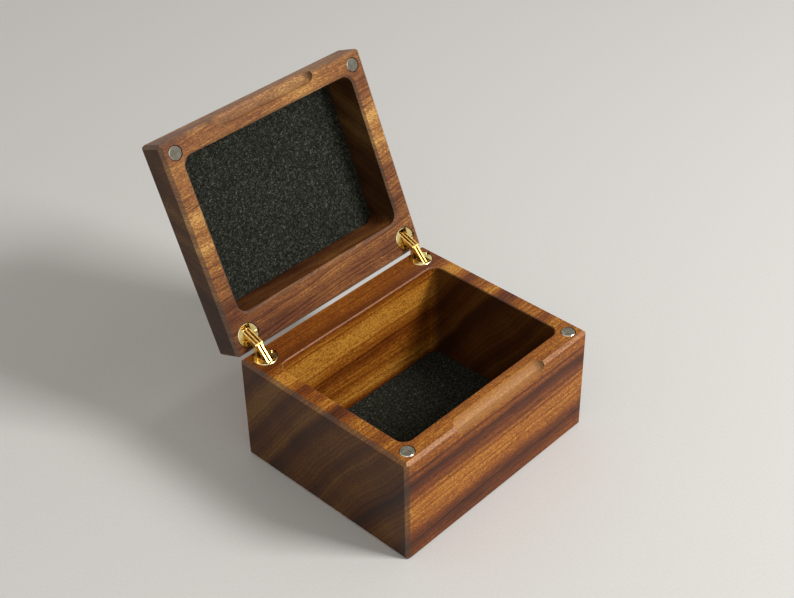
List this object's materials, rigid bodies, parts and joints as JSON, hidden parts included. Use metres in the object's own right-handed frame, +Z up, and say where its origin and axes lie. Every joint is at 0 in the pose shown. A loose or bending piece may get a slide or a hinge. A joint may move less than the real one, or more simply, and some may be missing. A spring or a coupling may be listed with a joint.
{
  "type": "deck box",
  "caption": "Hinged wooden deck box: a pocketed base and a bevelled lid that folds open on brass barrel hinges and is held shut by magnets, with finger coves.",
  "frame": {"origin": "middle of the base's underside", "axes": "+Z up, +X to the right along the front, the front with the finger cove faces -Y; the lid stands open behind"},
  "size_m": [0.108, 0.1433, 0.1339],
  "materials": {
    "walnut": "oiled satin",
    "felt": "charcoal wool felt",
    "barrel_brass": "turned and polished",
    "leaf_brass": "stamped and polished",
    "pin_brass": "drawn wire",
    "screw_brass": "turned",
    "magnet_nickel": "nickel plated"
  },
  "bodies": {
    "base": {"base_body": "walnut", "base_felt": "felt", "base_magnet_left": "magnet_nickel", "base_magnet_right": "magnet_nickel", "base_barrel_left": "barrel_brass", "base_barrel_right": "barrel_brass", "base_pivot_pin_left": "pin_brass", "base_pivot_pin_right": "pin_brass", "base_screw_left": "screw_brass", "base_screw_right": "screw_brass"},
    "base_leaves_left": {"base_leaf_left_1": "leaf_brass", "base_leaf_left_2": "leaf_brass", "base_leaf_left_3": "leaf_brass", "base_tail_pin_left": "pin_brass", "elbow_pin_left": "pin_brass"},
    "base_leaves_right": {"base_leaf_right_1": "leaf_brass", "base_leaf_right_2": "leaf_brass", "base_leaf_right_3": "leaf_brass", "base_tail_pin_right": "pin_brass", "elbow_pin_right": "pin_brass"},
    "lid_leaves_left": {"lid_leaf_left_1": "leaf_brass", "lid_leaf_left_2": "leaf_brass", "lid_tail_pin_left": "pin_brass"},
    "lid_leaves_right": {"lid_leaf_right_1": "leaf_brass", "lid_leaf_right_2": "leaf_brass", "lid_tail_pin_right": "pin_brass"},
    "lid": {"lid_body": "walnut", "lid_felt": "felt", "lid_magnet_left": "magnet_nickel", "lid_magnet_right": "magnet_nickel", "lid_barrel_left": "barrel_brass", "lid_barrel_right": "barrel_brass", "lid_pivot_pin_left": "pin_brass", "lid_pivot_pin_right": "pin_brass", "lid_screw_left": "screw_brass", "lid_screw_right": "screw_brass"}
  },
  "joints": [
    {"name": "base_pivot_left", "type": "hinge", "parent": "base", "child": "base_leaves_left", "pos_m": [-0.0459, 0.04255, 0.047], "axis": [-1, 0, 0], "range_deg": [-66.46, 0]},
    {"name": "elbow_left", "type": "hinge", "parent": "base_leaves_left", "child": "lid_leaves_left", "pos_m": [-0.0459, 0.04265, 0.05466], "axis": [-1, 0, 0], "range_deg": [0, 20.21]},
    {"name": "base_pivot_right", "type": "hinge", "parent": "base", "child": "base_leaves_right", "pos_m": [0.0459, 0.04255, 0.047], "axis": [-1, 0, 0], "range_deg": [-66.46, 0]},
    {"name": "elbow_right", "type": "hinge", "parent": "base_leaves_right", "child": "lid_leaves_right", "pos_m": [0.0459, 0.04265, 0.05466], "axis": [-1, 0, 0], "range_deg": [0, 20.21]},
    {"name": "lid_fold", "type": "hinge", "parent": "lid_leaves_left", "child": "lid", "pos_m": [-0.0459, 0.04975, 0.05179], "axis": [-1, 0, 0], "range_deg": [-66.45, 0]}
  ],
  "couplings": [
    {"joint": "base_pivot_left", "follows": "lid_fold", "ratio": 1},
    {"joint": "base_pivot_right", "follows": "lid_fold", "ratio": 1},
    {"joint": "elbow_left", "follows": "lid_fold", "ratio": -0.304},
    {"joint": "elbow_right", "follows": "lid_fold", "ratio": -0.304}
  ]
}
